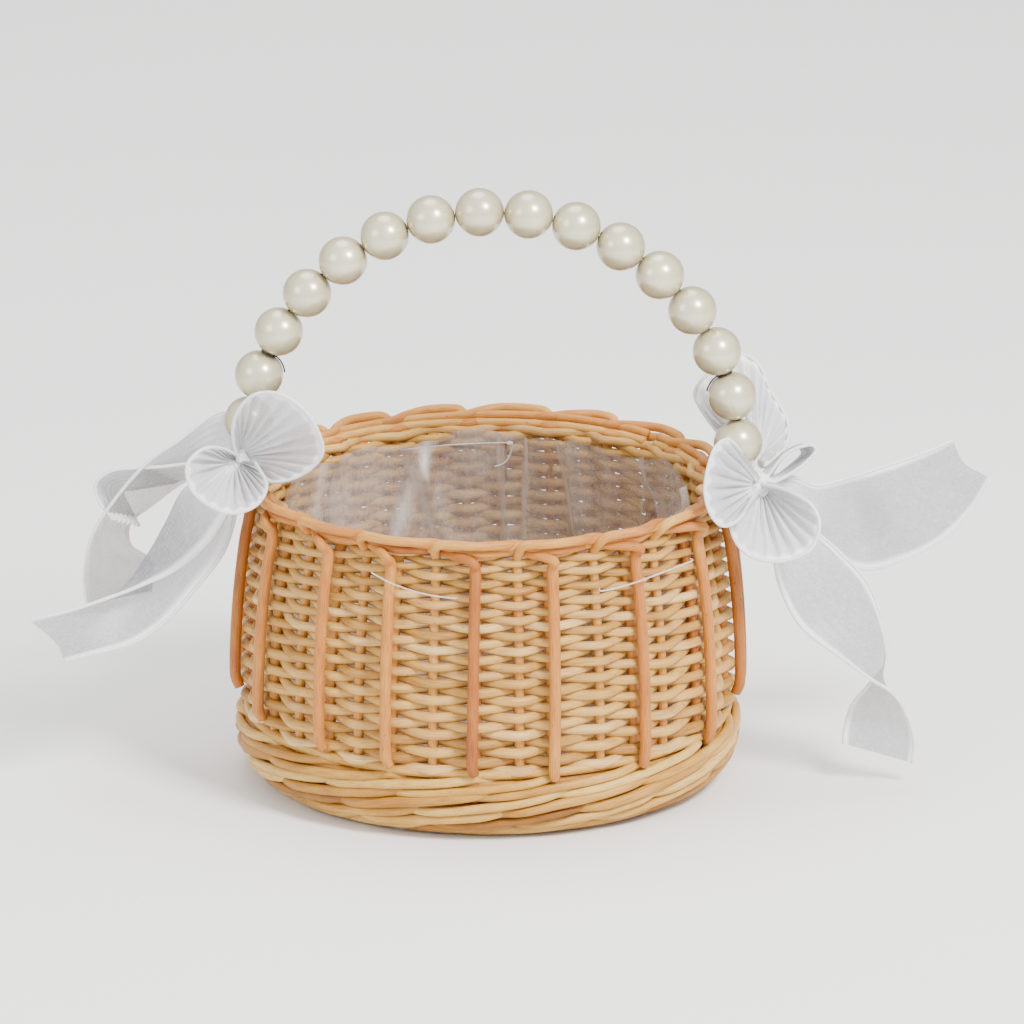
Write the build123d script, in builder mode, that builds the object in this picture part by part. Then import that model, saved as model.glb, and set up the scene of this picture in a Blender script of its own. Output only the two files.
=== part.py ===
"""Flower girl basket: a round willow basket with a film liner, a pearl bead handle and two organza bows.

Millimetres, +Z up. The origin is the middle of the resting face, the front of the basket faces -Y,
and the handle spans X.
"""

import os
from math import cos, radians, sin, sqrt

from build123d import *

# Driving dimensions of the basket
belly_radius = 102.4  # outside of the weave at its widest
belly_height = 40.0
wall_curve_radius = 415.0  # the wall is one long arc, widest at the belly
weave_bottom = 28.4
weave_top = 116.6
weaver_thickness = 3.2
stake_radius = 2.1
outer_rod_radius = 2.4
rod_gap = 0.2  # clearance between rods that lie side by side
stake_count = 18
stake_angle = -85.0  # first middle stake, seen from above, anticlockwise from +X
half_step = 180.0 / stake_count

base_radius = 83.2
base_thickness = 9.6
base_stick_radius = 2.0
base_stick_pitch = 5.6
base_stick_clearance = 0.1

wale_rod_radius = 2.5
wale_foot_radius = 86.3  # middle of the lowest wale rod
wale_top_radius = 101.5
wale_corner_height = 18.0

border_radius = 98.3  # middle of the border ring
border_height = 123.2
border_half_width = 4.3
border_half_height = 3.5

liner_thickness = 0.5
liner_depth = 11.2  # from the outside of the weave to the outside of the film
liner_bottom = 9.9
liner_top = 119.0
liner_corner = 8.0
thread_radius = 0.5

# Driving dimensions of the handle
pearl_count = 16
pearl_radius = 10.0
pearl_bore_radius = 1.4
pearl_step = 11.44  # degrees of the arch from one pearl to the next
last_pearl_angle = 1.5  # the right-hand pearl, above the level of the arch's middle
arch_radius = 100.6
arch_shift = 1.9  # the arch leans this far to the right of the basket's middle
arch_height = 136.8  # middle of the arch
wire_radius = 0.7
eye_radius = 5.4  # middle line of the wire eye that goes round the border
tie_ring_radius = 3.5
tie_wire_radius = 0.45
tie_end_radius = 0.4
tie_end_angles = (2.8, 22.0, 43.0)  # round the pearl, from the ring

# Driving dimensions of the bows
knot_radius = 5.5
loop_neck = 1.8
loop_start = 6.0  # the loops leave this far from the middle of the knot
ribbon_thickness = 1.2

os.makedirs("parts", exist_ok=True)


def wall_radius(height):
    """Outside radius of the weave at a height."""
    rise = height - belly_height
    return belly_radius - wall_curve_radius + sqrt(wall_curve_radius**2 - rise**2)


def wall_point(height, depth):
    """Point of the wall's section, depth inside the outside of the weave."""
    return (wall_radius(height) - depth, height)


def wall_arc_points(low, high, depth):
    """Three points of the wall's section, for an arc."""
    return [wall_point(h, depth) for h in (low, (low + high) / 2, high)]


def finish(part, name):
    """Labels a finished sub-part and writes it to its own file."""
    part.label = name
    export_step(part, f"parts/{name}.step")


def woven_wall(name, low, high, depth, thickness):
    """One course of the woven side as a plain ring wall that follows the basket's curve."""
    with BuildPart() as wall:
        with BuildSketch(Plane.XZ):
            with BuildLine():
                outside = ThreePointArc(*wall_arc_points(low, high, depth))
                inside = ThreePointArc(*wall_arc_points(low, high, depth + thickness))
                Line(outside @ 0, inside @ 0)
                Line(outside @ 1, inside @ 1)
            make_face()
        revolve(axis=Axis.Z)
    finish(wall.part, name)


def ring_of_rods(name, low, high, depth, radius, first_angle):
    """A ring of upright rods, each bent to the basket's curve; depth is to the rod's middle."""
    with BuildPart() as rods:
        with BuildLine(Plane.XZ) as path:
            ThreePointArc(*wall_arc_points(low, high, depth))
        with BuildSketch(Plane(path.line @ 0, z_dir=path.line % 0)):
            Circle(radius)
        rod = sweep(path=path.line, mode=Mode.PRIVATE)
        with PolarLocations(0, stake_count, start_angle=first_angle):
            add(rod)
    finish(rods.part, name)


def base():
    """The round base: a woven disc that holds two crossed layers of sticks."""
    stick_length = 2 * base_radius - 4
    low_layer = base_thickness / 2 - base_stick_radius - rod_gap / 2
    high_layer = base_thickness / 2 + base_stick_radius + rod_gap / 2
    rows = [(i - 1.5) * base_stick_pitch for i in range(4)]
    along_x = [Plane((0, y, low_layer), z_dir=(1, 0, 0)) for y in rows]
    along_y = [Plane((x, 0, high_layer), z_dir=(0, 1, 0)) for x in rows]

    with BuildPart() as sticks:
        with Locations(*along_x, *along_y):
            Cylinder(base_stick_radius, stick_length)
    finish(sticks.part, "base_sticks")

    with BuildPart() as disc:
        with BuildSketch():
            Circle(base_radius)
        extrude(amount=base_thickness)
        with Locations(*along_x, *along_y):
            Cylinder(
                base_stick_radius + base_stick_clearance,
                2 * base_radius + 4,
                mode=Mode.SUBTRACT,
            )
    finish(disc.part, "base_weave")


def wale():
    """The band of thick rods that turns the corner from the base up to the side."""
    foot_height = wale_rod_radius
    corner_width = wale_top_radius - wale_foot_radius
    middles = []
    for step in range(7):
        turn = radians(15 * step)
        middles.append(
            (
                wale_foot_radius + corner_width * sin(turn),
                foot_height + wale_corner_height * (1 - cos(turn)),
            )
        )
    top_of_corner = foot_height + wale_corner_height
    middles.append((wale_top_radius, top_of_corner + 1.8 * wale_rod_radius))

    with BuildPart() as band:
        with BuildSketch(Plane.XZ):
            with Locations(*middles):
                Circle(wale_rod_radius)
        revolve(axis=Axis.Z)
    finish(band.part, "wale_band")


def border():
    """The plaited border as one ring of oval section."""
    with BuildPart() as ring:
        with BuildSketch(Plane.XZ):
            with Locations((border_radius, border_height)):
                Ellipse(border_half_width, border_half_height)
        revolve(axis=Axis.Z)
    finish(ring.part, "border_braid")


def liner():
    """The clear film liner, a cup that follows the inside of the weave."""
    middle = (liner_bottom + liner_top) / 2

    def skin(inset):
        """Axis to rim along one face of the film."""
        floor = liner_bottom + inset
        corner_top = liner_bottom + liner_corner
        depth = liner_depth + inset
        side = wall_point(corner_top, depth)
        bend = liner_corner - inset
        corner = (side[0] - bend * (1 - sqrt(0.5)), floor + bend * (1 - sqrt(0.5)))
        return floor, side, bend, corner, depth

    with BuildPart() as film:
        with BuildSketch(Plane.XZ):
            with BuildLine():
                rims = []
                starts = []
                for inset in (0, liner_thickness):
                    floor, side, bend, corner, depth = skin(inset)
                    Line((0, floor), (side[0] - bend, floor))
                    ThreePointArc((side[0] - bend, floor), corner, side)
                    ThreePointArc(
                        side, wall_point(middle, depth), wall_point(liner_top, depth)
                    )
                    starts.append((0, floor))
                    rims.append(wall_point(liner_top, depth))
                Line(*starts)
                Line(*rims)
            make_face()
        revolve(axis=Axis.Z)
    finish(film.part, "liner_film")


def stitches():
    """The nylon stitches that hold the liner: two outside at the front, one inside at the back."""
    outside = -2 * outer_rod_radius - 2 * rod_gap - thread_radius
    inside = liner_depth + liner_thickness + rod_gap + thread_radius
    runs = [
        (outside, 108.5, -117.0, 19.5),
        (outside, 106.0, -63.0, 27.5),
        (inside, 114.6, 85.0, 29.0),
    ]
    with BuildPart() as threads:
        for depth, height, start, sweep_angle in runs:
            radius = wall_point(height - thread_radius, depth)[0]
            with BuildLine(Plane.XY.offset(height)) as path:
                CenterArc((0, 0), radius, start, sweep_angle)
            with BuildSketch(Plane(path.line @ 0, z_dir=path.line % 0)):
                Circle(thread_radius)
            sweep(path=path.line)
    finish(threads.part, "liner_stitches")


def pearl_plane(number):
    """Plane across the handle's wire at a pearl, counted from the left, its normal on the wire."""
    turn = radians(last_pearl_angle + pearl_step * (pearl_count - number))
    centre = (
        arch_shift + arch_radius * cos(turn),
        0,
        arch_height + arch_radius * sin(turn),
    )
    return Plane(centre, x_dir=(0, 1, 0), z_dir=(-sin(turn), 0, cos(turn)))


def handle_wire():
    """The handle's core wire: an arch, two straight ends, and an eye at each end round the border."""
    left = arch_shift - arch_radius
    right = arch_shift + arch_radius
    ends = []
    for x, eye_x in ((left, -border_radius), (right, border_radius)):
        ends.append((x, border_height + sqrt(eye_radius**2 - (x - eye_x) ** 2)))

    with BuildPart() as wire:
        with BuildLine(Plane.XZ) as path:
            Line(ends[0], (left, arch_height))
            ThreePointArc(
                (left, arch_height),
                (arch_shift, arch_height + arch_radius),
                (right, arch_height),
            )
            Line((right, arch_height), ends[1])
        with BuildSketch(Plane(path.line @ 0, z_dir=path.line % 0)):
            Circle(wire_radius)
        sweep(path=path.line)
        eye_centres = [
            Plane((side * border_radius, 0, border_height), z_dir=(0, 1, 0))
            for side in (-1, 1)
        ]
        with Locations(*eye_centres):
            Torus(eye_radius, wire_radius)
    finish(wire.part, "handle_wire")


def pearls():
    """The pearl beads, numbered from the left."""
    for number in range(1, pearl_count + 1):
        with BuildPart() as pearl:
            with Locations(pearl_plane(number)):
                Sphere(pearl_radius)
                Cylinder(pearl_bore_radius, 3 * pearl_radius, mode=Mode.SUBTRACT)
        finish(pearl.part, f"pearl_{number:02d}")


def bead_tie(name, bent_over, beside):
    """A black wire tie: a ring in the groove between two pearls, and its free end bent over one."""
    pearl_centre = pearl_plane(bent_over).origin
    groove = (pearl_centre + pearl_plane(beside).origin) * 0.5
    along = (pearl_centre - groove).normalized()
    inward = (Vector(arch_shift, 0, arch_height) - groove).normalized()
    start = groove + inward * tie_ring_radius - pearl_centre
    reach = start.length
    outwards = start.normalized()
    onwards = (inward - outwards * inward.dot(outwards)).normalized()

    def over_pearl(angle):
        turn = radians(angle)
        return pearl_centre + (outwards * cos(turn) + onwards * sin(turn)) * reach

    with BuildPart() as tie:
        with Locations(Plane(groove, z_dir=along)):
            Torus(tie_ring_radius, tie_wire_radius)
        with BuildLine() as path:
            ThreePointArc(*[over_pearl(a) for a in tie_end_angles])
        with BuildSketch(Plane(path.line @ 0, z_dir=path.line % 0)):
            Circle(tie_end_radius)
        sweep(path=path.line)
    finish(tie.part, name)


def bow_knot(name, centre):
    """The knot at the middle of a bow."""
    with BuildPart() as knot:
        with Locations(centre):
            Sphere(knot_radius)
    finish(knot.part, name)


def bow_loop(name, knot, tip, radius, bend=None):
    """A puffed ribbon loop as a drop-shaped solid that leaves the knot, or a bend behind it."""
    root = Vector(*(bend or knot))
    axis = (Vector(*tip) - root).normalized()
    start = root if bend else root + axis * loop_start
    length = (Vector(*tip) - start).length
    side = axis.cross(Vector(0.3, 0.2, 1)).normalized()
    section = Plane(start, x_dir=side, z_dir=side.cross(axis))
    with BuildPart() as loop:
        with BuildSketch(section):
            with BuildLine():
                Spline(
                    (loop_neck, 0),
                    (radius, 0.6 * length),
                    (0, length),
                    tangents=((0.4, 1), (-1, 0)),
                )
                Line((0, length), (0, 0))
                Line((0, 0), (loop_neck, 0))
            make_face()
        revolve(axis=Axis(start, axis))
        if bend:
            towards_bend = (root - Vector(*knot)).normalized()
            with BuildLine() as neck:
                Line(Vector(*knot) + towards_bend * loop_start, root + axis * loop_neck)
            with BuildSketch(Plane(neck.line @ 0, z_dir=neck.line % 0)):
                Circle(loop_neck)
            sweep(path=neck.line)
    finish(loop.part, name)


def bow_tail(name, place, yaw, edges):
    """A flat ribbon tail in an upright plane; its outline is a chain of smooth edges."""
    turn = radians(yaw)
    plane = Plane(
        (*place, 0), x_dir=(cos(turn), sin(turn), 0), z_dir=(sin(turn), -cos(turn), 0)
    )
    with BuildPart() as tail:
        with BuildSketch(plane):
            with BuildLine():
                for edge in edges:
                    if len(edge) == 2:
                        Line(*edge)
                    else:
                        Spline(*edge)
            make_face()
        extrude(amount=ribbon_thickness / 2, both=True)
    finish(tail.part, name)


def left_bow():
    """The bow at the foot of the handle on the left."""
    knot = (-103.5, -8.5, 134.5)
    bow_knot("bow_left_knot", knot)
    bow_loop("bow_left_loop_inner", knot, (-68, -26, 152), 14.5)
    bow_loop("bow_left_loop_outer", knot, (-117, -44, 120), 10.5)
    bow_tail(
        "bow_left_tail_front",
        (-104, -10),
        17,
        [
            [(-6, 129), (-21, 126), (-30, 113), (-39, 98), (-51, 84), (-64, 79), (-87, 76)],
            [(-87, 76), (-77, 70), (-72, 57)],
            [(-72, 57), (-44, 62), (-19, 80), (-7, 98), (-3, 113)],
            [(-3, 113), (-6, 129)],
        ],
    )
    bow_tail(
        "bow_left_tail_back",
        (-104, 6),
        -12,
        [
            [(-4, 140), (-23, 134), (-41, 125), (-57, 118)],
            [(-57, 118), (-61, 104), (-65, 85), (-62, 64)],
            [(-62, 64), (-48, 68)],
            [(-48, 68), (-38, 86), (-44, 95), (-36, 107), (-22, 116), (-4, 122)],
            [(-4, 122), (-4, 140)],
        ],
    )


def right_bow():
    """The bow at the foot of the handle on the right."""
    knot = (110, -9, 124)
    bow_knot("bow_right_knot", knot)
    bow_loop("bow_right_loop_inner", knot, (104, -58, 143), 10.0)
    bow_loop("bow_right_loop_lower", knot, (124, -37, 96), 12.5)
    bow_loop("bow_right_loop_back", knot, (102, 31, 167), 11.0, bend=(110, 9, 130))
    bow_loop("bow_right_loop_small", knot, (134, 4, 141), 5.5)
    bow_tail(
        "bow_right_tail_side",
        (112, 4),
        8,
        [
            [(7, 122), (24, 119), (53, 126), (80, 136)],
            [(80, 136), (87, 125), (96, 119)],
            [(96, 119), (77, 94), (43, 82)],
            [(43, 82), (24, 94), (7, 112)],
            [(7, 112), (7, 122)],
        ],
    )
    bow_tail(
        "bow_right_tail_down",
        (112, -6),
        -8,
        [
            [(2, 113), (7, 92), (10, 75), (22, 58), (41, 44)],
            [(41, 44), (36, 26), (34, 13)],
            [(34, 13), (48, 8), (63, 6)],
            [(63, 6), (62, 24), (52, 39)],
            [(52, 39), (51, 62), (39, 89), (22, 104), (8, 113)],
            [(8, 113), (2, 113)],
        ],
    )


stake_depth = weaver_thickness + stake_radius + rod_gap / 2
inner_course_depth = weaver_thickness + 2 * stake_radius + rod_gap
stake_foot = 14.2
inner_course_foot = 11.0
rod_top = border_height - border_half_height - 2 * rod_gap

base()
wale()
woven_wall("side_weave_outer", weave_bottom, weave_top, 0, weaver_thickness)
woven_wall(
    "side_weave_inner", inner_course_foot, weave_top, inner_course_depth, weaver_thickness
)
ring_of_rods("stakes_middle", stake_foot, rod_top, stake_depth, stake_radius, stake_angle)
ring_of_rods(
    "stakes_hidden", stake_foot, weave_top, stake_depth, stake_radius, stake_angle + half_step
)
ring_of_rods(
    "rods_outer",
    weave_bottom,
    rod_top,
    -rod_gap - outer_rod_radius,
    outer_rod_radius,
    stake_angle + half_step,
)
border()
liner()
stitches()

handle_wire()
pearls()
bead_tie("bead_tie_left", 2, 3)
bead_tie("bead_tie_right", pearl_count - 1, pearl_count - 2)
left_bow()
right_bow()
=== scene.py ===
"""Looks for the flower girl basket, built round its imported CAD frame.

Shapes are worked out in millimetres in the row frame (+Z up, front towards -Y) and stored in metres.
"""

import math

import bpy
import numpy as np
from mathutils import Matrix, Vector


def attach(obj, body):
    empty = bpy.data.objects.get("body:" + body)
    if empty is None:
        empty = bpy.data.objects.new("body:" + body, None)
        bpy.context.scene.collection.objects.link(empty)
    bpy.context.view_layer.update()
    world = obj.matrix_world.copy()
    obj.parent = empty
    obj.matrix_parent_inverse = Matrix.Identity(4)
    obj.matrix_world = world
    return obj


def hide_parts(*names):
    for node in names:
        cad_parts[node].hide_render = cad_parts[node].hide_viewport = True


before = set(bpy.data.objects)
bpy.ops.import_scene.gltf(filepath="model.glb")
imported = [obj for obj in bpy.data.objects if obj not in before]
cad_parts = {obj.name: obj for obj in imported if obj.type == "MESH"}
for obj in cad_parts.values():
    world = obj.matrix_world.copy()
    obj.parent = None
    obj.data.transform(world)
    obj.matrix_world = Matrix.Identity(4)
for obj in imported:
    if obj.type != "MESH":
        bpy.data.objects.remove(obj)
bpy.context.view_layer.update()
rng = np.random.default_rng(11)

MM = 0.001

# The basket's sizes, as in the CAD
BELLY_RADIUS, BELLY_HEIGHT, WALL_CURVE = 102.4, 40.0, 415.0
STAKE_DEPTH = 5.4  # from the outside of the weave to the middle of a stake
STAKE_RADIUS = 2.05
FIRST_STAKE = -85.0
STEP = 20.0  # degrees from one middle stake to the next
ROW_BOTTOM, LOW_PITCH, TOP_PITCH, ROW_COUNT = 30.1, 3.9, 2.72, 28
WEAVE_SWING = 2.9  # how far a weaver swings in and out round the stakes
WALE_FOOT, WALE_WIDTH, WALE_RISE = (86.3, 2.5), 15.2, 18.0
PEARL_COUNT, PEARL_STEP, LAST_PEARL = 16, 11.44, 1.5
ARCH_RADIUS, ARCH_SHIFT, ARCH_HEIGHT = 100.6, 1.9, 136.8
LINER_DEPTH, LINER_FLOOR, LINER_TOP = 11.4, 10.6, 118.0


def wall_radius(z):
    """Outside radius of the weave at a height."""
    return BELLY_RADIUS - WALL_CURVE + np.sqrt(WALL_CURVE**2 - (z - BELLY_HEIGHT) ** 2)


def polar(angle, radius, z):
    """Points from degrees, radius and height."""
    a = np.radians(angle)
    return np.stack(np.broadcast_arrays(radius * np.cos(a), radius * np.sin(a), z), -1)


def smooth_curve(points, count):
    """A smooth curve of that many points through the given ones."""
    p = np.asarray(points, float)
    gaps = np.maximum(np.linalg.norm(np.diff(p, axis=0), axis=1), 1e-6) ** 0.6
    t = np.concatenate([[0], np.cumsum(gaps)])
    inner = (p[2:] - p[:-2]) / (t[2:] - t[:-2])[:, None]
    ends = ((p[1] - p[0]) / gaps[0], (p[-1] - p[-2]) / gaps[-1])
    slope = np.vstack([ends[0], inner, ends[1]])
    at = np.linspace(0, t[-1], count)
    i = np.clip(np.searchsorted(t, at, side="right") - 1, 0, len(p) - 2)
    h = (t[i + 1] - t[i])[:, None]
    x = ((at - t[i]) / h[:, 0])[:, None]
    return (
        (2 * x**3 - 3 * x**2 + 1) * p[i]
        + (x**3 - 2 * x**2 + x) * h * slope[i]
        + (3 * x**2 - 2 * x**3) * p[i + 1]
        + (x**3 - x**2) * h * slope[i + 1]
    )


def even(points, count):
    """The same curve with its points at even distances."""
    s = np.concatenate([[0], np.cumsum(np.linalg.norm(np.diff(points, axis=0), axis=1))])
    at = np.linspace(0, s[-1], count)
    return np.stack([np.interp(at, s, points[:, k]) for k in range(3)], -1)


def unit(v):
    return v / np.maximum(np.linalg.norm(v, axis=-1, keepdims=True), 1e-9)


def make_object(name, verts, faces, uv, values, material, body, nodes):
    """A smooth mesh object that rides on a body and stands for CAD nodes."""
    mesh = bpy.data.meshes.new(name)
    mesh.from_pydata((np.asarray(verts) * MM).tolist(), [], faces)
    layer = mesh.uv_layers.new(name="run")
    layer.data.foreach_set("uv", np.asarray(uv, float).ravel())
    for key, data in values.items():
        mesh.attributes.new(key, "FLOAT", "POINT").data.foreach_set(
            "value", np.asarray(data, float)
        )
    mesh.shade_smooth()
    mesh.materials.append(material)
    obj = bpy.data.objects.new(name, mesh)
    bpy.context.collection.objects.link(obj)
    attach(obj, body)
    if nodes:
        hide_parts(*nodes)
    return obj


class Rods:
    """Round rods gathered into one mesh, with a tone for each and a UV map along it, in mm."""

    def __init__(self):
        self.verts, self.faces, self.uv, self.tone = [], [], [], []
        self.count = 0

    def add(self, path, radius, tone, sides=9):
        p = np.asarray(path, float)
        n = len(p)
        r = np.broadcast_to(radius, n)
        along = unit(np.gradient(p, axis=0))
        side = np.empty_like(p)
        v = np.cross(along[0], (0, 0, 1) if abs(along[0][2]) < 0.9 else (1, 0, 0))
        for i in range(n):
            v = unit(v - along[i] * (v @ along[i]))
            side[i] = v
        up = np.cross(along, side)
        a = np.linspace(0, 2 * np.pi, sides, endpoint=False)
        ring = np.cos(a)[None, :, None] * side[:, None] + np.sin(a)[None, :, None] * up[:, None]
        self.verts.append((p[:, None] + r[:, None, None] * ring).reshape(-1, 3))
        self.tone.append(np.repeat(np.broadcast_to(tone, n), sides))
        s = np.concatenate([[0], np.cumsum(np.linalg.norm(np.diff(p, axis=0), axis=1))])
        s = s + 1000 * rng.random()
        girth = 2 * np.pi * r.mean() / sides
        for i in range(n - 1):
            low, high = self.count + i * sides, self.count + (i + 1) * sides
            for j in range(sides):
                k = (j + 1) % sides
                self.faces.append((low + j, low + k, high + k, high + j))
                self.uv += [
                    (s[i], j * girth),
                    (s[i], (j + 1) * girth),
                    (s[i + 1], (j + 1) * girth),
                    (s[i + 1], j * girth),
                ]
        for first, order in ((self.count, -1), (self.count + (n - 1) * sides, 1)):
            cap = [first + j for j in range(sides)][::order]
            self.faces.append(tuple(cap))
            self.uv += [(s[0], 0)] * sides
        self.count += n * sides

    def build(self, name, material, slot, body="basket", nodes=()):
        return make_object(
            name,
            np.vstack(self.verts),
            self.faces,
            self.uv,
            {"tone": np.concatenate(self.tone)},
            material,
            body,
            nodes,
        )


# ---------------------------------------------------------------- materials


def srgb(r, g, b):
    """Linear colour from 0 to 255 values."""
    c = [x / 255 for x in (r, g, b)]
    return [x / 12.92 if x <= 0.04045 else ((x + 0.055) / 1.055) ** 2.4 for x in c] + [1]


class Look:
    """A node material under construction."""

    def __init__(self, name):
        self.material = bpy.data.materials.new(name)
        self.material.use_nodes = True
        self.tree = self.material.node_tree
        self.shader = self.tree.nodes["Principled BSDF"]

    def node(self, kind, inputs=None, **settings):
        made = self.tree.nodes.new("ShaderNode" + kind)
        for key, value in settings.items():
            setattr(made, key, value)
        for key, value in (inputs or {}).items():
            if isinstance(value, bpy.types.NodeSocket):
                self.tree.links.new(value, made.inputs[key])
            else:
                made.inputs[key].default_value = value
        return made

    def set(self, **values):
        for key, value in values.items():
            socket = self.shader.inputs[key.replace("_", " ")]
            if isinstance(value, bpy.types.NodeSocket):
                self.tree.links.new(value, socket)
            else:
                socket.default_value = value
        return self

    def ramp(self, factor, stops):
        made = self.node("ValToRGB", {"Fac": factor})
        elements = made.color_ramp.elements
        while len(elements) < len(stops):
            elements.new(0.5)
        for element, (at, colour) in zip(elements, stops):
            element.position = at
            element.color = colour
        return made.outputs["Color"]

    def scaled(self, source, scale):
        return self.node("Mapping", {"Vector": source, "Scale": scale}).outputs["Vector"]

    def noise(self, vector, scale, detail=3.0, rough=0.55):
        inputs = {"Vector": vector, "Scale": scale, "Detail": detail, "Roughness": rough}
        return self.node("TexNoise", inputs).outputs["Fac"]

    def math(self, operation, a, b, clamp=False):
        return self.node("Math", {0: a, 1: b}, operation=operation, use_clamp=clamp).outputs[0]

    def mix(self, factor, a, b, blend="MIX"):
        made = self.node("Mix", data_type="RGBA", blend_type=blend)
        for key, value in ((0, factor), (6, a), (7, b)):
            if isinstance(value, bpy.types.NodeSocket):
                self.tree.links.new(value, made.inputs[key])
            else:
                made.inputs[key].default_value = value
        return made.outputs[2]

    def bump(self, height, strength, distance):
        inputs = {"Height": height, "Strength": strength, "Distance": distance}
        self.set(Normal=self.node("Bump", inputs).outputs["Normal"])
        return self


def willow(name, colours, roughness=0.5):
    """Peeled willow: a tone for each rod, fine grain along it, and darker flecks."""
    look = Look(name)
    uv = look.node("UVMap", uv_map="run").outputs["UV"]
    tone = look.node("Attribute", attribute_name="tone").outputs["Fac"]
    stops = [(i / (len(colours) - 1), srgb(*c)) for i, c in enumerate(colours)]
    drift = look.noise(look.scaled(uv, (0.035, 0.05, 1)), 1.0, 2.0)
    spread = look.math("SUBTRACT", drift, 0.5)
    shade = look.math("MULTIPLY", spread, 0.9)
    colour = look.ramp(look.math("ADD", tone, shade, True), stops)
    grain = look.noise(look.scaled(uv, (0.12, 2.6, 1)), 1.0, 5.0, 0.65)
    streak = look.ramp(grain, [(0.3, srgb(176, 132, 84)), (0.56, srgb(255, 252, 246))])
    fleck = look.noise(look.scaled(uv, (0.5, 0.9, 1)), 1.0, 2.0)
    dark = look.ramp(fleck, [(0.25, srgb(150, 100, 66)), (0.34, srgb(255, 255, 255))])
    colour = look.mix(0.75, colour, streak, "MULTIPLY")
    colour = look.mix(0.8, colour, dark, "MULTIPLY")
    look.set(Base_Color=colour, Roughness=roughness, Specular_IOR_Level=0.35)
    look.bump(grain, 0.35, 0.0003)
    return look.material


straw = [(164, 116, 50), (190, 146, 72), (210, 170, 94), (194, 150, 86), (230, 198, 132)]
tan = [(156, 88, 32), (178, 110, 42), (192, 126, 52), (204, 148, 68), (212, 166, 88)]
weave_look = willow("willow_weave", straw)
stake_look = willow("willow_rods", tan)
wale_look = willow("willow_wale", [(134, 86, 28), (172, 120, 44), (196, 150, 66), (218, 182, 104)])
base_look = willow("willow_base", straw, 0.65)


def plain_willow(name):
    """Willow for CAD rods, which have no UV map: grain from the object's own coordinates."""
    look = Look(name)
    where = look.node("TexCoord").outputs["Object"]
    grain = look.noise(where, 900.0, 4.0)
    patch = look.noise(where, 60.0, 2.0)
    colour = look.ramp(patch, [(0.3, srgb(214, 172, 124)), (0.7, srgb(236, 206, 158))])
    streak = look.ramp(grain, [(0.2, srgb(150, 110, 80)), (0.6, srgb(255, 255, 255))])
    colour = look.mix(0.35, colour, streak, "MULTIPLY")
    look.set(Base_Color=colour, Roughness=0.6)
    look.bump(grain, 0.3, 0.0003)
    return look.material


def pearl_material():
    """Pearl lacquer: warm body colour with painted shade that darkens it to brown towards the rims, a
    soft gleam and a faint mottling.
    """
    look = Look("pearl")
    where = look.node("TexCoord").outputs["Object"]
    mottle = look.noise(where, 55.0, 3.0)
    # Painted shade: the body colour darkens to brown where the surface turns away from view, at the
    # pearl's rims
    facing = look.node("LayerWeight", {"Blend": 0.42}).outputs["Facing"]
    stops = [(0.0, srgb(216, 212, 186)), (0.35, srgb(194, 188, 154)), (0.85, srgb(140, 112, 72))]
    body = look.ramp(facing, stops)
    tint = look.ramp(mottle, [(0.3, srgb(244, 238, 232)), (0.7, srgb(255, 255, 250))])
    fine = look.noise(where, 2600.0, 2.0)
    look.set(
        Base_Color=look.mix(1.0, body, tint, "MULTIPLY"),
        Metallic=0.3,
        Roughness=0.3,
        Specular_IOR_Level=0.7,
        Coat_Weight=1.0,
        Coat_Roughness=0.12,
        Subsurface_Weight=0.12,
        Subsurface_Scale=0.003,
    )
    look.bump(fine, 0.05, 0.0001)
    return look.material


def film_material():
    """Clear film: thin and bright, with painted highlights as milkier, more opaque streaks along its
    creases and crinkle ridges.
    """
    look = Look("liner_film")
    uv = look.node("UVMap", uv_map="run").outputs["UV"]
    crease_highlight = look.node("Attribute", attribute_name="tone").outputs["Fac"]
    haze = look.noise(look.scaled(uv, (0.035, 0.012, 1)), 1.0, 4.0, 0.6)
    crinkle = look.noise(look.scaled(uv, (0.16, 0.05, 1)), 1.0, 6.0, 0.7)
    ridge = look.math("ABSOLUTE", look.math("SUBTRACT", crinkle, 0.5), 0.0)
    # Painted highlight: thin opaque lines along the crinkle ridges
    line = look.ramp(ridge, [(0.0, (1, 1, 1, 1)), (0.035, (0, 0, 0, 1))])
    glow = look.ramp(haze, [(0.42, (0, 0, 0, 1)), (0.68, (1, 1, 1, 1))])
    veil = look.math("MULTIPLY", glow, 0.26)
    fine = look.math("MULTIPLY", line, 0.16)
    # Painted highlight: the folds' milky streaks, from the liner's tone
    fold = look.math("MULTIPLY", crease_highlight, 0.65)
    alpha = look.math("ADD", look.math("ADD", veil, fine), look.math("ADD", fold, 0.26), True)
    look.set(Base_Color=srgb(206, 196, 190), Roughness=0.14, Alpha=alpha, IOR=1.5)
    look.bump(crinkle, 0.5, 0.002)
    return look.material


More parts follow.
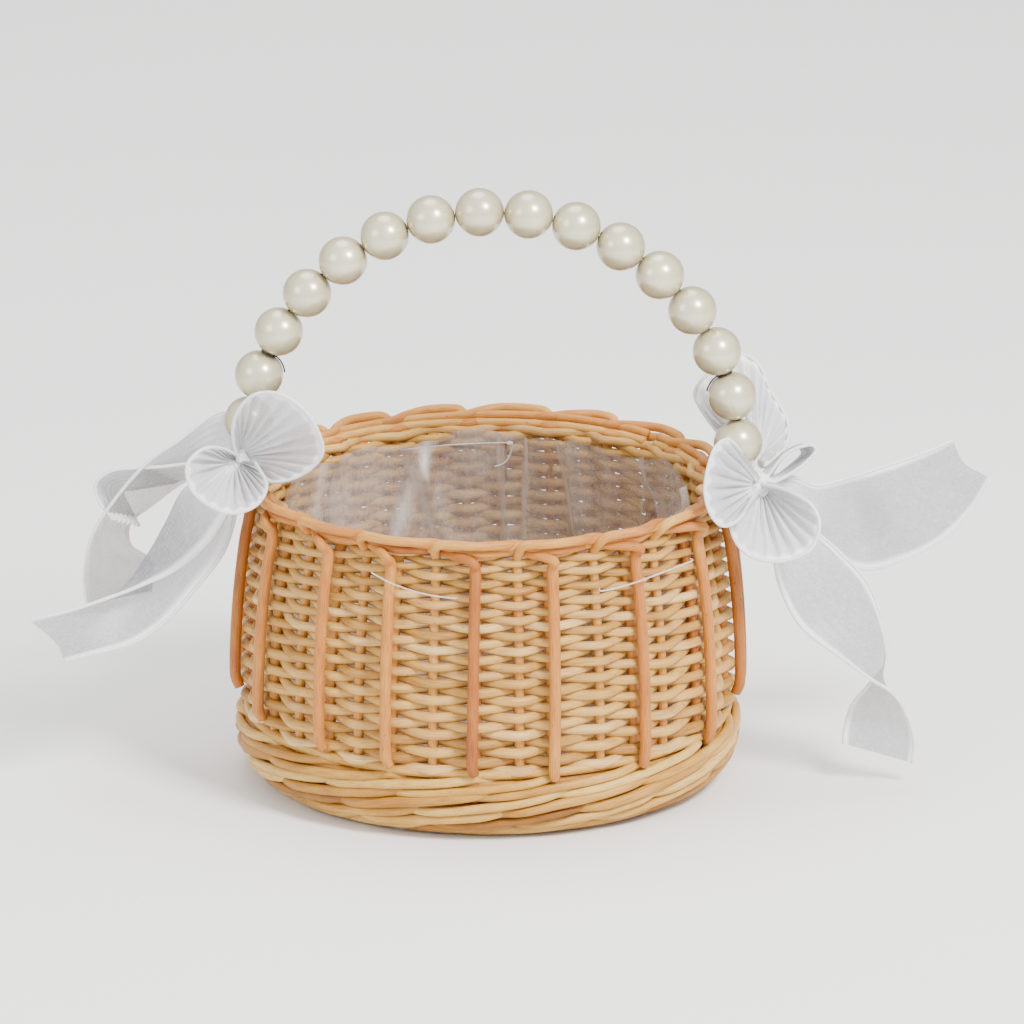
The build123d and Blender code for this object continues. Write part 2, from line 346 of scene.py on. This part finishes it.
def organza_material():
    """Sheer organza: crossed threads, a denser corded edge, and glints along the folds."""
    look = Look("organza")
    uv = look.node("UVMap", uv_map="run").outputs["UV"]
    density = look.node("Attribute", attribute_name="tone").outputs["Fac"]
    warp = look.noise(look.scaled(uv, (0.25, 3.2, 1)), 1.0, 2.0)
    weft = look.noise(look.scaled(uv, (3.2, 0.25, 1)), 1.0, 2.0)
    threads = look.math("MULTIPLY", look.math("ADD", warp, weft), 0.5)
    cloud = look.noise(look.scaled(uv, (0.12, 0.2, 1)), 1.0, 2.0)
    glint = look.ramp(threads, [(0.44, srgb(116, 118, 124)), (0.64, srgb(184, 186, 191))])
    glint = look.mix(look.math("MULTIPLY", density, 3.2, True), glint, srgb(250, 250, 252))
    alpha = look.math("MULTIPLY_ADD", threads, 0.5)
    alpha.node.inputs[2].default_value = 0.36
    alpha = look.math("ADD", alpha, look.math("MULTIPLY", cloud, 0.14))
    alpha = look.math("ADD", alpha, density, True)
    look.set(
        Base_Color=glint,
        Roughness=0.38,
        Alpha=alpha,
        Sheen_Weight=0.35,
        Sheen_Roughness=0.3,
        Specular_IOR_Level=0.6,
    )
    look.bump(threads, 0.3, 0.0004)
    return look.material


def thread_material(name, colour, roughness, bump_scale):
    """A plain thread or wire with a fine broken surface."""
    look = Look(name)
    where = look.node("TexCoord").outputs["Object"]
    fine = look.noise(where, bump_scale, 2.0)
    shade = look.ramp(fine, [(0.3, srgb(*[c * 0.86 for c in colour])), (0.7, srgb(*colour))])
    look.set(Base_Color=shade, Roughness=roughness)
    look.bump(fine, 0.2, 0.0002)
    return look


pearl_look = pearl_material()
film_look = film_material()
organza_look = organza_material()
cord_look = thread_material("organza_cord", (246, 247, 250), 0.45, 1800.0).material
nylon_look = thread_material("nylon_thread", (206, 204, 198), 0.25, 900.0).material
black_look = thread_material("black_wire", (26, 25, 25), 0.35, 900.0).material
steel = thread_material("handle_wire", (176, 172, 166), 0.3, 1500.0)
steel.set(Metallic=1.0)

# ---------------------------------------------------------------- weave

# How far each stake stands from its even place, in degrees, from the left side round the front
DRIFT_FIRST = -175.0
FRONT_DRIFT = [0, 1, 1.5, 3, 3.6, 2.3, 1.4, 1.8, 2.1, 2.6, 0.6, 2.9, 2.7, 2.1, 5.6, 5, 7, 5]
drift_angles = DRIFT_FIRST + 10.0 * np.arange(37)
drift_values = np.array([*FRONT_DRIFT, *rng.uniform(-1.5, 1.8, 18), FRONT_DRIFT[0]])


def drifted(angle):
    """An even angle moved to where the stakes really stand."""
    turn = (np.asarray(angle, float) - DRIFT_FIRST) % 360 + DRIFT_FIRST
    return angle + np.interp(turn, drift_angles, drift_values)


def wander(angle, seed):
    """A slow, closed wobble round the basket, from -1 to 1."""
    a = np.radians(angle)
    return 0.6 * np.sin(2 * a + seed) + 0.4 * np.sin(5 * a + 2.3 * seed)


row_pitches = np.linspace(LOW_PITCH, TOP_PITCH, ROW_COUNT)
row_heights = ROW_BOTTOM + np.concatenate([[0], np.cumsum(row_pitches[1:])])


def weavers(first_row):
    """Every other row of weavers, in front of every other stake."""
    rods = Rods()
    for row in range(first_row, ROW_COUNT, 2):
        behind = FIRST_STAKE + (STEP / 2 if first_row == 0 else 0)
        start = behind + STEP * rng.integers(18)
        turn = start + np.arange(0, 359, 1.25)
        swing = np.cos(np.radians(18 * (turn - FIRST_STAKE))) * (1 if first_row == 0 else -1)
        swing = np.arcsin(0.97 * swing) / np.arcsin(0.97)
        z = row_heights[row] + 0.35 * wander(turn, 0.7) + 0.2 * wander(turn, row * 1.7)
        girth = row_pitches[row] * rng.uniform(0.56, 0.62)
        # The back rows are up to 14 % thicker, so that little background shows through them
        tight = np.clip(0.4 + 2 * np.sin(np.radians(turn)), 0, 1)
        radius = np.linspace(girth, 0.94 * girth, len(turn)) * (1 + 0.14 * tight)
        r = wall_radius(z) - STAKE_DEPTH + WEAVE_SWING * swing + 0.2 * wander(turn, row)
        tone = rng.uniform(0.1, 0.95) + 0.12 * wander(turn, row * 0.9)
        rods.add(polar(drifted(turn), r, z), radius, tone)
    return rods


weavers(0).build(
    "weavers_even_rows", weave_look, "willow_weave", nodes=["side_weave_outer"]
)
weavers(1).build(
    "weavers_odd_rows", weave_look, "willow_weave", nodes=["side_weave_inner"]
)

hidden = Rods()
for k in range(18):
    z = np.linspace(15, 117.5, 24)
    angle = drifted(FIRST_STAKE + STEP * (k + 0.5))
    hidden.add(
        polar(angle, wall_radius(z) - STAKE_DEPTH, z), 1.2 * STAKE_RADIUS, rng.uniform(0.2, 0.8)
    )
hidden.build("stakes_behind_rods", stake_look, "willow_stake", nodes=["stakes_hidden"])

# The border: each middle stake bends over to the right, runs inside the next two,
# and turns down outside as a thick rod. Steps along the rim, radius and height:
OVER_THE_RIM = [
    (0.00, 90.1, 115.6),
    (0.00, 92.2, 118.9),
    (0.01, 94.8, 121.6),
    (0.04, 96.6, 123.8),
    (0.13, 97.6, 125.2),
    (0.50, 98.6, 125.2),
    (0.80, 95.4, 124.6),
    (1.00, 92.6, 124.0),
    (1.20, 94.2, 122.9),
    (1.50, 96.4, 121.5),
    (1.80, 92.6, 120.9),
    (2.00, 90.4, 120.5),
    (2.20, 94.2, 120.2),
    (2.40, 99.4, 119.8),
    (2.49, 101.2, 118.6),
]
ROD_BOTTOMS = {-175: 38, -155: 35, -135: 33, -115: 31, -95: 30, -75: 27, -55: 27, -35: 28, -15: 36}
ROD_TONES = {-155: 0.45, -135: 0.4, -115: 0.55, -95: 0.1, -75: 0.5, -55: 0.35, -35: 0.45, -15: 0.2}

border = Rods()
for k in range(18):
    home = FIRST_STAKE + STEP * k
    end_place = (home + 2.5 * STEP + 180) % 360 - 180
    bottom = ROD_BOTTOMS.get(round(end_place), rng.uniform(28, 35))
    end_tone = ROD_TONES.get(round(end_place), rng.uniform(0.1, 0.7))
    lean = rng.uniform(-1.2, 1.2)
    points, radii, tones = [], [], []
    for z in np.linspace(15, 111, 9):
        points.append(polar(drifted(home), wall_radius(z) - STAKE_DEPTH, z))
        radii.append(STAKE_RADIUS)
        tones.append(0.75)
    for step, radius, z in OVER_THE_RIM:
        points.append(polar(drifted(home + STEP * step), radius + rng.uniform(-0.25, 0.25), z))
        radii.append(1.95)
        tones.append(0.75 + (end_tone - 0.75) * min(step / 1.2, 1))
    for z in np.linspace(114.5, bottom + 10, 6):
        at = drifted(home + 2.5 * STEP) + lean * (116 - z) / 90
        points.append(polar(at, wall_radius(z) + 2.1, z))
        radii.append(2.35)
        tones.append(end_tone)
    at = drifted(home + 2.5 * STEP) + lean
    points.append(polar(at, wall_radius(bottom + 4) + 1.7, bottom + 4))
    points.append(polar(at + 0.4, wall_radius(bottom) + 0.2, bottom))
    radii += [2.3, 2.1]
    tones += [end_tone, end_tone]
    path = np.column_stack([np.array(points), radii, tones])
    fine = smooth_curve(path, 300)
    border.add(fine[:, :3], fine[:, 3], fine[:, 4], 12)
# Two weavers close the border's windows
for r, z, tone in ((91.4, 121.0, 0.9), (93.6, 123.4, 0.6)):
    turn = FIRST_STAKE + 130 + np.arange(0, 358, 2.0)
    border.add(polar(turn, r, z + 0.4 * wander(turn, r)), 1.75, tone, 10)
border.build(
    "border_stake_rods",
    stake_look,
    "willow_rod",
    nodes=["stakes_middle", "rods_outer", "border_braid"],
)

# The wale: rounds of three rods, each in front of two stakes and behind one
corner = np.radians(np.linspace(0, 90, 40))
profile = np.column_stack(
    [
        WALE_FOOT[0] + WALE_WIDTH * np.sin(corner),
        WALE_FOOT[1] + WALE_RISE * (1 - np.cos(corner)),
    ]
)
profile = np.vstack([profile, profile[-1] + [0.3, 10.0]])
profile_length = np.concatenate(
    [[0], np.cumsum(np.linalg.norm(np.diff(profile, axis=0), axis=1))]
)
profile_out = unit(np.gradient(profile, axis=0))[:, ::-1] * [1, -1]


def on_profile(length, depth):
    """Radius and height of a point on the wale's section, depth inside its middle line."""
    at = [np.interp(length, profile_length, profile[:, i]) for i in (0, 1)]
    out = [np.interp(length, profile_length, profile_out[:, i]) for i in (0, 1)]
    return at[0] - depth * out[0], at[1] - depth * out[1]


WALE_ROUNDS = [(5.2, 0.0, 4.2), (13.4, 0.9, 5.0), (21.6, 1.7, 5.0), (28.4, 2.5, 3.8)]
wale = Rods()
for middle, shift, slant in WALE_ROUNDS:
    for j in range(3):
        start = FIRST_STAKE + STEP * (j + shift) + 2.4 * STEP + 60 * rng.integers(6)
        turn = start + np.arange(0, 352, 1.5)
        u = ((turn - FIRST_STAKE) / STEP - j - shift) % 3
        edge = np.clip(np.minimum(u, 2 - u) / 0.42, -1, 1)
        front = 0.5 + 0.5 * np.sin(edge * np.pi / 2)
        rise = np.where(u < 2, slant * (u - 1), slant * (5 - 2 * u))
        length = np.clip(middle + rise + 0.5 * wander(turn, middle + j), 0.4, 33.5)
        r, z = on_profile(length, 5.6 * (1 - front) - 0.5 * front)
        radius = np.linspace(2.35, 1.9, len(turn)) * rng.uniform(0.9, 1.05)
        tone = rng.uniform(0.05, 1.0) + 0.2 * wander(turn, j + shift)
        wale.add(polar(drifted(turn), r, np.maximum(z, radius + 0.05)), radius, tone, 10)
# Plain rings behind the wale, so that no gap shows: radius and height
BEHIND_WALE = [
    (86.4, 2.3), (89.5, 5.6), (95.0, 9.4), (97.6, 14.0), (98.0, 19.0), (98.2, 24.0), (98.4, 28.6),
]
for r, z in BEHIND_WALE:
    turn = np.arange(0, 358, 2.0) + 360 * rng.random()
    wale.add(polar(turn, r, z + 0.2 * wander(turn, r)), 2.2, rng.uniform(0.2, 0.8))
wale.build("wale_rods", wale_look, "willow_wale", nodes=["wale_band"])

# The base: rings of weavers that pass over one layer of sticks and under the other
rings = Rods()
for i, r in enumerate(np.arange(3.0, 84.0, 3.35)):
    turn = np.arange(0, 357, 3.0) + 90 * rng.integers(4)
    cross = np.cos(np.radians(2 * turn)) * min(1.0, r / 20)
    z = 4.95 + 1.7 * np.sign(cross) * np.abs(cross) ** 0.5
    rings.add(polar(turn, r, z), 1.7, rng.uniform(0.1, 0.9), 8)
rings.build("base_weavers", base_look, "willow_base", nodes=["base_weave"])


def paint(node, material):
    """Gives a CAD node that stays a better material."""
    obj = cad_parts[node]
    for material_slot in obj.material_slots:
        material_slot.material = material
    obj.data.shade_smooth()


paint("base_sticks", plain_willow("willow_sticks"))
paint("handle_wire", steel.material)
for i in range(1, PEARL_COUNT + 1):
    paint(f"pearl_{i:02d}", pearl_look)

# ---------------------------------------------------------------- liner and its stitches

# Folds of the film: angle, lean with height, width, depth, how milky (the strength of its painted
# highlight)
FOLDS = [
    (62, 0.10, 1.6, 5.0, 0.9),
    (80, -0.04, 1.1, 4.0, 1.0),
    (84, 0.03, 1.3, 3.4, 0.9),
    (98, 0.28, 2.2, 5.0, 0.8),
    (118, -0.22, 2.6, 6.0, 0.9),
    (132, 0.16, 1.8, 4.0, 0.6),
    (150, -0.10, 2.4, 5.0, 0.5),
    (176, 0.14, 2.0, 4.0, 0.6),
    (205, -0.12, 2.4, 5.0, 0.5),
    (232, 0.10, 2.0, 4.5, 0.5),
    (256, -0.08, 2.6, 5.0, 0.5),
    (284, 0.12, 2.0, 4.0, 0.5),
    (312, -0.10, 2.4, 5.0, 0.5),
    (338, 0.12, 2.0, 4.0, 0.5),
    (8, -0.12, 2.4, 5.0, 0.5),
    (28, 0.10, 1.8, 4.5, 0.7),
    (44, -0.16, 2.0, 5.0, 0.8),
]


def liner():
    """A cup of clear film pushed into the basket, with sharp folds."""
    around = np.linspace(0, 360, 361)
    floor_r = np.linspace(2, 78, 16)
    side_z = np.linspace(LINER_FLOOR + 8, LINER_TOP, 60)
    corner_a = np.radians(np.linspace(8, 82, 8))
    side_r = wall_radius(side_z) - LINER_DEPTH
    bend_r = side_r[0] - 8 * (1 - np.sin(corner_a))
    bend_z = LINER_FLOOR + 8 * (1 - np.cos(corner_a))
    r = np.concatenate([floor_r, bend_r, side_r])
    z = np.concatenate([np.full(len(floor_r), LINER_FLOOR), bend_z, side_z])
    weight = np.clip((z - LINER_FLOOR) / 25, 0, 1)
    height = (z - 60)[:, None]
    pull = np.zeros((len(z), len(around)))
    milky_highlight = np.zeros_like(pull)
    for angle, slant, width, depth, highlight_strength in FOLDS:
        off = (around[None, :] - angle - slant * height + 180) % 360 - 180
        shape = np.clip(1 - np.abs(off) / (2.2 * width), 0, 1)
        pull += depth * shape**1.3
        # Painted highlight: a milky streak along one side of each fold, stronger higher up
        flat = np.exp(-((off - width) ** 2) / (0.35 * width**2))
        milky_highlight = np.maximum(milky_highlight, highlight_strength * flat * (0.35 + 0.65 * np.clip(height / 60 + 0.6, 0, 1)))
    a = np.radians(around)[None, :]
    slow = np.sin(7 * a + 0.05 * height) + 0.7 * np.sin(13 * a - 0.07 * height + 1)
    pull += 0.9 * np.abs(slow)
    radius = r[:, None] - pull * weight[:, None] - 0.4
    lift = np.zeros_like(radius)
    lift[-6:] = (1.6 * np.sin(5 * a) + 1.2 * np.sin(11 * a + 2)) * np.linspace(0, 1, 6)[:, None]
    rise = 0.35 * np.sin(9 * a) * np.sin(r[:, None] / 9) * (1 - weight[:, None])
    high = z[:, None] + lift + np.abs(rise)
    verts = np.stack([radius * np.cos(a), radius * np.sin(a), high], -1)[:, :-1]
    rows, columns = verts.shape[:2]
    faces, uv = [], []
    for i in range(rows - 1):
        for j in range(columns):
            k = (j + 1) % columns
            faces.append((i * columns + j, i * columns + k, (i + 1) * columns + k, (i + 1) * columns + j))
            low, up = 1.6 * z[i] + r[i] * 0.5, 1.6 * z[i + 1] + r[i + 1] * 0.5
            uv += [(1.5 * j, low), (1.5 * (j + 1), low), (1.5 * (j + 1), up), (1.5 * j, up)]
    return make_object(
        "liner_sheet",
        verts.reshape(-1, 3),
        faces,
        uv,
        {"tone": (milky_highlight * weight[:, None])[:, :-1].ravel()},
        film_look,
        "basket",
        ["liner_film"],
    )


film = liner()

stitches = Rods()
for route in (
    [(-47, -88, 111.5), (-46, -91.6, 111.6), (-38, -95.5, 108.5), (-26, -99.8, 105.8),
     (-13.5, -102.4, 104.6), (-12.5, -99, 104.4)],
    [(45, -88.5, 104.6), (46, -92.4, 104.6), (56, -87.8, 105.6), (66, -80.5, 106.9),
     (76, -70.9, 107.9), (83, -62.2, 108.2), (82, -60, 108.2)],
    [(-37, 78.5, 113.4), (-36, 76.4, 113.4), (-14, 80.6, 114.3), (8, 80.4, 115.2),
     (10, 80.5, 114.6), (8.5, 80.2, 109), (6, 79, 106.5), (2.5, 78.5, 105.4)],
):
    stitches.add(smooth_curve(route, 60), 0.32, 0.5, 8)
knot = polar(np.linspace(0, 540, 40), 1.0, np.linspace(-0.6, 0.6, 40)) + [9, 80.2, 115.0]
stitches.add(knot, 0.32, 0.5, 8)
stitches.build("thread_stitches", nylon_look, "nylon_thread", nodes=["liner_stitches"])

# ---------------------------------------------------------------- handle details


def on_arch(angle, radius=ARCH_RADIUS):
    """A point of the handle's arch."""
    a = math.radians(angle)
    return np.array([ARCH_SHIFT + radius * math.cos(a), 0, ARCH_HEIGHT + radius * math.sin(a)])


for name, bent_over, beside in (("left", PEARL_COUNT - 2, PEARL_COUNT - 3), ("right", 1, 2)):
    pearl = on_arch(LAST_PEARL + PEARL_STEP * bent_over)
    groove = (pearl + on_arch(LAST_PEARL + PEARL_STEP * beside)) / 2
    along = unit(pearl - groove)
    inward = unit(np.array([ARCH_SHIFT, 0, ARCH_HEIGHT]) - groove)
    across = np.cross(along, inward)
    a = np.radians(np.linspace(0, 720, 90))
    coil = groove + 3.1 * (np.cos(a)[:, None] * inward + np.sin(a)[:, None] * across)
    coil = coil + along * np.linspace(-0.4, 0.1, 90)[:, None]
    tie = Rods()
    tie.add(coil, 0.33, 0.5, 8)
    start = groove + 3.4 * inward - pearl
    out = unit(start)
    onward = unit(inward - out * (inward @ out))
    reach = np.linalg.norm(start)
    bend = np.radians(np.linspace(0, 42, 16))[:, None]
    tie.add(pearl + reach * (out * np.cos(bend) + onward * np.sin(bend)), 0.33, 0.5, 8)
    tie.build(f"tie_wire_{name}", black_look, "black_wire", "handle", [f"bead_tie_{name}"])

# ---------------------------------------------------------------- bows


def ribbon(
    name, rails, flat, nodes, pleats=0.0, pleat_count=7, ends=(1, 0), gathers=0
):
    """A sheer ribbon lofted across its rails, from one corded edge to the other.

    ends says at which ends the ribbon is gathered, so that its pleats fade towards the free end.
    gathers counts the folds that run across the ribbon, where its far edge is drawn into a knot.
    """
    length_count, width_count = 96, 25
    curves = [even(smooth_curve(rail, 240), length_count) for rail in rails]
    across = np.linspace(0, 1, width_count)
    grid = np.empty((length_count, width_count, 3))
    for i in range(length_count):
        row = np.array([c[i] for c in curves])
        if len(rails) == 2:
            grid[i] = row[0] + across[:, None] * (row[1] - row[0])
        else:
            grid[i] = smooth_curve(row, width_count)
    run = np.gradient(grid, axis=0)
    side = np.gradient(grid, axis=1)
    normal = unit(np.cross(run, side))
    s = np.linspace(0, 1, length_count)[:, None]
    fade = ends[0] * np.exp(-s / 0.28) + ends[1] * np.exp(-(1 - s) / 0.28)
    ripple = np.sin(2 * np.pi * pleat_count * across[None] + 2.5 * s)
    ripple = ripple * np.sin(np.pi * across[None]) ** 0.5
    swell = pleats * np.clip(fade, 0, 1.2) * ripple
    if gathers:
        folds = np.sin(2 * np.pi * gathers * s + 1.3 * np.sin(9 * s))
        swell = pleats * folds * across[None] ** 0.5 * (1 - across[None] ** 6)
    grid = grid + normal * swell[..., None]
    edge = np.minimum(across, 1 - across)
    dense = 0.5 * np.clip(1 - edge / 0.08, 0, 1)[None] + 0.35 * np.clip(fade, 0, 1) ** 2
    if gathers:
        dense = 0.18 + 0.4 * np.clip(1 - across / 0.1, 0, 1)[None] + 0.2 * across[None] ** 3 + 0 * s
    dense = np.broadcast_to(dense, (length_count, width_count))
    faces, uv = [], []
    span = flat[1] / MM / (length_count - 1)
    width = flat[0] / MM / (width_count - 1)
    for i in range(length_count - 1):
        for j in range(width_count - 1):
            first = i * width_count + j
            faces.append((first, first + 1, first + width_count + 1, first + width_count))
            uv += [
                (i * span, j * width),
                (i * span, (j + 1) * width),
                ((i + 1) * span, (j + 1) * width),
                ((i + 1) * span, j * width),
            ]
    cloth = make_object(
        name, grid.reshape(-1, 3), faces, uv, {"tone": dense.ravel()},
        organza_look, "handle", nodes,
    )
    cords = Rods()
    cords.add(grid[:, 0], 0.75, 0.5, 7)
    if not gathers:
        cords.add(grid[:, -1], 0.75, 0.5, 7)
    edging = cords.build(name + "_cords", cord_look, "organza", "handle")
    return cloth


def cup(near, root, shrink, far_y):
    """Rails of a loop seen from its side: the near edge, a full middle and the far edge."""
    near, root = np.array(near, float), np.array(root, float)
    far = root + (near - root) * shrink
    reach = np.sin(np.pi * np.linspace(0, 1, len(near))) ** 0.4
    far[:, 1] += (far_y - far[:, 1]) * reach
    middle = (near + far) / 2
    middle += (middle - root) * 0.12 * reach[:, None]
    return [near, middle, far]


LEFT_KNOT = (-103, -9, 134)
RIGHT_KNOT = (111, -9, 124)

ribbon(
    "bow_left_petal_inner",
    cup(
        [
            (-102, -14, 135), (-104, -22, 149), (-102, -27, 160), (-95, -31, 169), (-84, -34, 170),
            (-73, -36, 162), (-67, -36, 148), (-71, -35, 139.5), (-81, -32, 133),
            (-92, -26, 131), (-99, -16, 133),
        ],
        LEFT_KNOT, 0.14, -8,
    ),
    (0.038, 0.129), ["bow_left_loop_inner"], 2.6, 5, (1, 1), 19,
)
ribbon(
    "bow_left_petal_outer",
    cup(
        [
            (-102, -14, 138), (-109, -30, 146), (-116, -42, 149), (-122, -48, 144),
            (-120, -49, 134),
            (-112, -54, 128.5), (-103, -55, 126), (-94, -52, 128.5), (-90, -38, 132.5),
            (-95, -20, 137),
        ],
        LEFT_KNOT, 0.14, -14,
    ),
    (0.038, 0.120), ["bow_left_loop_outer"], 2.6, 5, (1, 1), 19,
)
ribbon(
    "bow_left_streamer_front",
    [
        [(-102, -16, 118), (-108, -20, 99), (-122, -26, 82), (-133, -30, 71), (-146, -35, 64),
         (-163, -40, 61), (-173, -42, 59)],
        [(-112, -8, 128), (-124, -8, 122), (-132, -10, 108), (-141, -14, 93), (-151, -24, 82),
         (-167, -38, 71), (-176, -41, 66)],
        [(-103, -20, 121), (-114, -26, 105), (-128, -30, 94), (-141, -34, 89), (-153, -37, 85),
         (-171, -41, 80), (-187, -44, 77)],
    ],
    (0.038, 0.105), ["bow_left_tail_front"], 0.8, 4, (1, 0),
)
ribbon(
    "bow_left_streamer_back",
    [
        [(-102, 0, 141), (-108, 0, 153), (-127, 0, 140), (-141, 2, 129), (-157, 6, 108),
         (-163, 8, 96), (-166, 10, 82), (-166, 12, 72), (-165, 12, 66)],
        [(-102, 0, 128), (-113, 8, 123), (-123, 20, 118), (-139, 28, 104), (-148, 32, 95),
         (-148, 34, 85), (-140, 34, 79), (-139, 34, 73), (-140, 34, 65)],
    ],
    (0.038, 0.114), ["bow_left_tail_back"], 1.2, 8, (1, 0),
)
ribbon(
    "bow_left_streamer_curl",
    [
        [(-118, 4, 130), (-133, 4, 128), (-144, 5, 127), (-154, 8, 125), (-161, 10, 119),
         (-160, 9, 112), (-154, 8, 104)],
        [(-118, 14, 120), (-133, 26, 114), (-146, 32, 110), (-150, 34, 109), (-151, 35, 107),
         (-149, 33, 103), (-144, 28, 95)],
    ],
    (0.038, 0.061), [], 1.3, 6, (1, 1),
)
ribbon(
    "bow_right_petal_back",
    cup(
        [
            (108, 2, 127), (96, 12, 138), (87, 18, 149), (85, 22, 155), (92, 25, 163),
            (103, 28, 169),
            (111, 27, 165), (116, 23, 155), (123, 18, 143), (122, 8, 135), (113, 0, 129),
        ],
        (110, 6, 128), 0.16, 10,
    ),
    (0.038, 0.129), ["bow_right_loop_back"], 3.6, 5, (1, 1), 19,
)
ribbon(
    "bow_right_petal_small",
    [
        [(114, -6, 126), (122, -5, 136), (132, -5, 140), (134, -5, 137), (126, -8, 130),
         (115, -12, 125)],
        [(114, 2, 126), (120, 9, 131), (127, 13, 134), (129, 12, 131), (124, 8, 127),
         (115, -2, 123)],
    ],
    (0.038, 0.049), ["bow_right_loop_small"], 2.4, 7, (1, 1),
)
ribbon(
    "bow_right_petal_inner",
    cup(
        [
            (110, -14, 127), (99, -40, 152), (92, -54, 153), (88, -60, 139), (90, -60, 128),
            (95, -56, 121), (102, -44, 120), (110, -14, 123),
        ],
        RIGHT_KNOT, 0.14, -16,
    ),
    (0.038, 0.137), ["bow_right_loop_inner"], 2.8, 5, (1, 1), 19,
)
ribbon(
    "bow_right_petal_lower",
    cup(
        [
            (112, -14, 126), (123, -28, 127), (132, -38, 124), (135, -42, 117), (131, -44, 107),
            (118, -44, 102), (105, -42, 105), (99, -38, 114), (102, -28, 121), (110, -14, 124),
        ],
        RIGHT_KNOT, 0.14, -10,
    ),
    (0.038, 0.121), ["bow_right_loop_lower"], 2.8, 5, (1, 1), 19,
)
ribbon(
    "bow_right_streamer_side",
    [
        [(115, 0, 124), (125, 2, 124), (135, 4, 120), (148, 8, 122), (164, 12, 126),
         (180, 15, 131), (191, 18, 135)],
        [(115, -4, 122), (125, -4, 117), (136, 0, 109), (151, 14, 104), (168, 8, 107),
         (184, 18, 114), (196, 22, 124)],
        [(114, -4, 119), (124, -2, 110), (136, 4, 96), (154, 8, 83), (172, 12, 86),
         (188, 15, 94), (200, 18, 106), (207, 20, 118)],
    ],
    (0.038, 0.103), ["bow_right_tail_side"], 1.0, 4, (1, 0),
)
ribbon(
    "bow_right_streamer_down",
    [
        [(112, -14, 119), (116, -20, 106), (119, -24, 87), (128, -26, 69), (144, -30, 57),
         (156, -34, 49), (166, -30, 41), (172, -26, 30), (175, -24, 18), (174, -23, 9)],
        [(118, -4, 118), (130, -6, 107), (144, -8, 95), (156, -8, 81), (163, -8, 60),
         (163, -9, 47), (156, -8, 37), (150, -12, 31), (147, -18, 24), (146, -22, 17)],
    ],
    (0.038, 0.134), ["bow_right_tail_down"], 1.6, 8, (1, 0),
)


def knot_wrap(name, centre, lean, nodes):
    """The ribbon's knot: a few gathered turns pulled tight."""
    turns = 5
    a = np.linspace(0, 2 * np.pi, 60)
    sweep = np.linspace(-1, 1, 22)
    verts, faces, uv = [], [], []
    axis = unit(np.array(lean, float))
    first = unit(np.cross(axis, (0, 1, 0)))
    second = np.cross(axis, first)
    for t in sweep:
        radius = 5.2 * math.sqrt(max(0.0, 1 - 0.8 * t * t))
        for angle in a[:-1]:
            fold = 1 + 0.09 * math.sin(turns * math.pi * t + 2.2 * angle) + 0.05 * math.sin(9 * angle)
            point = axis * 5.2 * t + (first * math.cos(angle) + second * math.sin(angle)) * radius * fold
            verts.append(np.array(centre) + point)
    columns = len(a) - 1
    for i in range(len(sweep) - 1):
        for j in range(columns):
            k = (j + 1) % columns
            faces.append((i * columns + j, i * columns + k, (i + 1) * columns + k, (i + 1) * columns + j))
            uv += [(i, j / 2), (i, (j + 1) / 2), (i + 1, (j + 1) / 2), (i + 1, j / 2)]
    for first_vertex, order in ((0, -1), ((len(sweep) - 1) * columns, 1)):
        faces.append(tuple([first_vertex + j for j in range(columns)][::order]))
        uv += [(0, 0)] * columns
    tone = np.full(len(verts), 0.45)
    return make_object(name, verts, faces, uv, {"tone": tone}, organza_look, "handle", nodes)


knot_wrap("bow_left_knot_wrap", LEFT_KNOT, (0.9, 0.1, 0.5), ["bow_left_knot"])
knot_wrap("bow_right_knot_wrap", RIGHT_KNOT, (0.8, 0.1, -0.6), ["bow_right_knot"])

# ---------------------------------------------------------------- stage, light and camera


def floor_material():
    look = Look("studio_floor")
    where = look.node("TexCoord").outputs["Object"]
    tone = look.noise(where, 3.0, 2.0)
    look.set(
        Base_Color=look.ramp(tone, [(0.2, srgb(240, 240, 240)), (0.8, srgb(244, 244, 243))]),
        Roughness=0.9,
    )
    return look.material


bpy.ops.mesh.primitive_plane_add(size=8, location=(0, 0, -0.0004))
floor = bpy.context.active_object
floor.name = "floor"
floor.data.materials.append(floor_material())

world = bpy.data.worlds.new("studio")
world.use_nodes = True
world.node_tree.nodes["Background"].inputs["Color"].default_value = (1.0, 0.995, 0.99, 1)
world.node_tree.nodes["Background"].inputs["Strength"].default_value = 1.35
bpy.context.scene.world = world


def area_light(name, place, target, size, power, colour=(1, 1, 1)):
    data = bpy.data.lights.new(name, "AREA")
    data.shape = "DISK"
    data.size, data.energy, data.color = size, power, colour
    light = bpy.data.objects.new(name, data)
    bpy.context.collection.objects.link(light)
    light.location = place
    light.rotation_euler = (Vector(target) - Vector(place)).to_track_quat("-Z", "Y").to_euler()


LIGHT_TARGET = (0, 0, 0.1)
area_light("key", (0.9, -1.1, 1.5), LIGHT_TARGET, 0.55, 70, (1, 0.98, 0.95))
area_light("fill", (-1.3, -1.0, 0.9), LIGHT_TARGET, 0.8, 9)
area_light("top", (-0.1, 0.5, 1.8), LIGHT_TARGET, 1.2, 18)

CAMERA_ELEVATION = math.radians(17)
CAMERA_DISTANCE = 5.25
CAMERA_TARGET = Vector((0.00984, 0, 0.10968))
camera_data = bpy.data.cameras.new("camera")
camera_data.lens = 450
camera_data.sensor_width = 36
camera = bpy.data.objects.new("camera", camera_data)
bpy.context.collection.objects.link(camera)
back = Vector((0, -math.cos(CAMERA_ELEVATION), math.sin(CAMERA_ELEVATION)))
camera.location = CAMERA_TARGET + back * CAMERA_DISTANCE
camera.rotation_euler = (-back).to_track_quat("-Z", "Y").to_euler()
camera_data.clip_end = 50
bpy.context.scene.camera = camera
